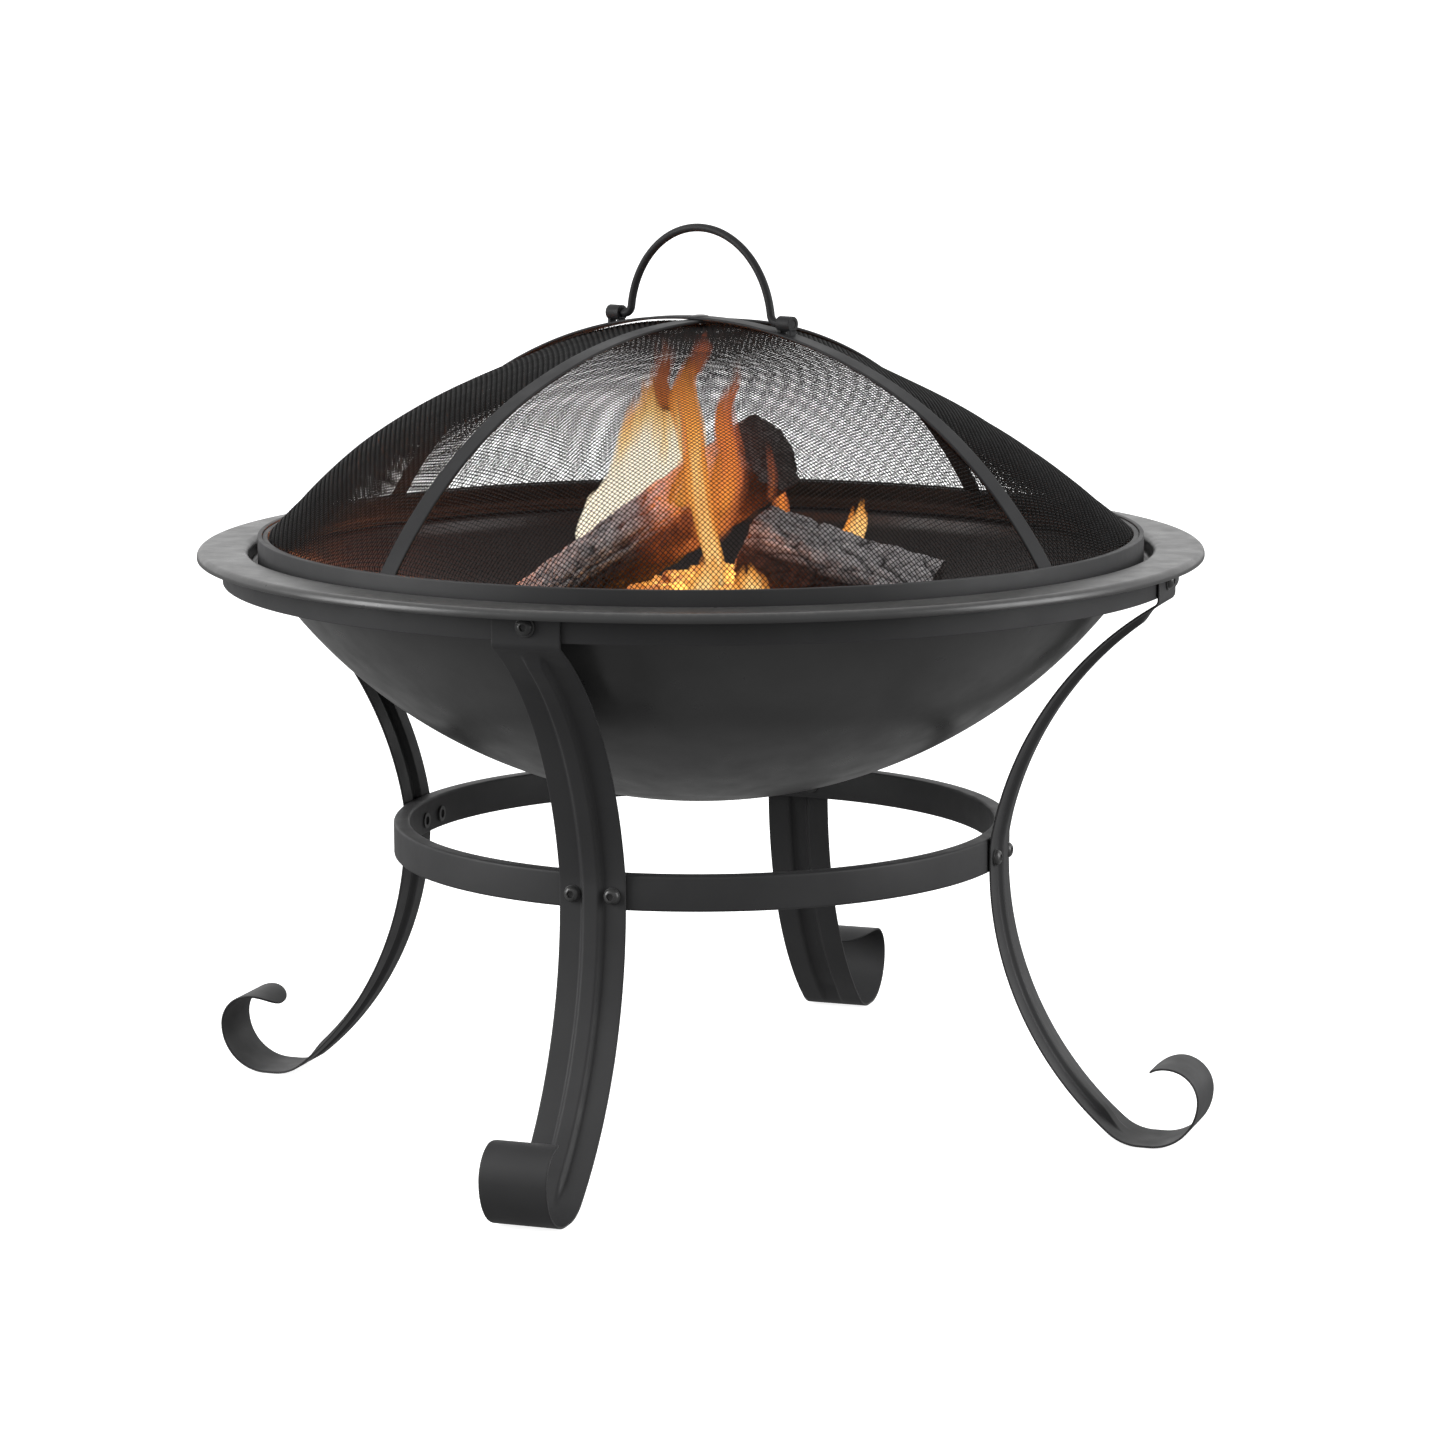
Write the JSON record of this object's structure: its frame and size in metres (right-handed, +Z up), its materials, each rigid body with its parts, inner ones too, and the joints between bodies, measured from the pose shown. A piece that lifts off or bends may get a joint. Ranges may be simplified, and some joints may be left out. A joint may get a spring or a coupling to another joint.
{
  "type": "fire pit",
  "caption": "Round steel wood-burning fire pit: bowl with wide flange on scroll-footed strip legs, log grate inside, and a lift-off domed mesh spark guard with a swinging bail handle.",
  "frame": {"origin": "on the floor, under the axis of the bowl", "axes": "+Z up along the bowl's axis; the front of the pit faces -Y"},
  "size_m": [0.5652, 0.5652, 0.4989],
  "materials": {
    "black_powder_coat": "satin black powder coat",
    "black_enamel": "satin heat-resistant black, lighter on the worn flange",
    "strap_coat": "satin dark grey",
    "black_wire": "matt black woven wire",
    "black_fastener": "black zinc",
    "grate_iron": "sooty bare rod",
    "charred_wood": "charred, cracked and ashy",
    "embers": "glowing charcoal with ash"
  },
  "bodies": {
    "stand": {"upper_ring": "black_powder_coat", "lower_ring": "black_powder_coat", "front_left_leg": "black_powder_coat", "front_right_leg": "black_powder_coat", "rear_right_leg": "black_powder_coat", "rear_left_leg": "black_powder_coat", "rim_bolts": "black_fastener", "rim_washers": "black_fastener", "rim_nuts": "black_fastener", "ring_bolts": "black_fastener", "ring_washers": "black_fastener", "ring_rivet_nuts": "black_fastener"},
    "bowl": {"bowl": "black_enamel"},
    "guard": {"outer_hoop": "black_powder_coat", "inner_hoop": "black_powder_coat", "long_strap": "strap_coat", "cross_strap": "strap_coat", "front_mesh_panel": "black_wire", "right_mesh_panel": "black_wire", "rear_mesh_panel": "black_wire", "left_mesh_panel": "black_wire", "crown_rivet": "black_fastener", "front_handle_eye": "strap_coat", "rear_handle_eye": "strap_coat"},
    "handle": {"handle": "strap_coat"},
    "grate": {"grate_ring": "grate_iron", "grate_bars": "grate_iron", "grate_feet": "grate_iron"},
    "firewood": {"left_log": "charred_wood", "right_log": "charred_wood", "ember_bed": "embers"}
  },
  "joints": [
    {"name": "bowl_lift", "type": "slide", "parent": "stand", "child": "bowl", "axis": [0, 0, 1], "range_m": [0, 0.2]},
    {"name": "guard_lift", "type": "slide", "parent": "bowl", "child": "guard", "axis": [0, 0, 1], "range_m": [0, 0.45]},
    {"name": "handle_swing", "type": "hinge", "parent": "guard", "child": "handle", "pos_m": [0, 0, 0.4468], "axis": [0.742, -0.6704, 0], "range_deg": [-85, 85]},
    {"name": "grate_lift", "type": "slide", "parent": "bowl", "child": "grate", "axis": [0, 0, 1], "range_m": [0, 0.15]},
    {"name": "firewood_lift", "type": "slide", "parent": "grate", "child": "firewood", "axis": [0, 0, 1], "range_m": [0, 0.1]}
  ],
  "couplings": [
    {"joint": "grate_lift", "follows": "guard_lift", "ratio": 0.3},
    {"joint": "firewood_lift", "follows": "guard_lift", "ratio": 0.2}
  ]
}
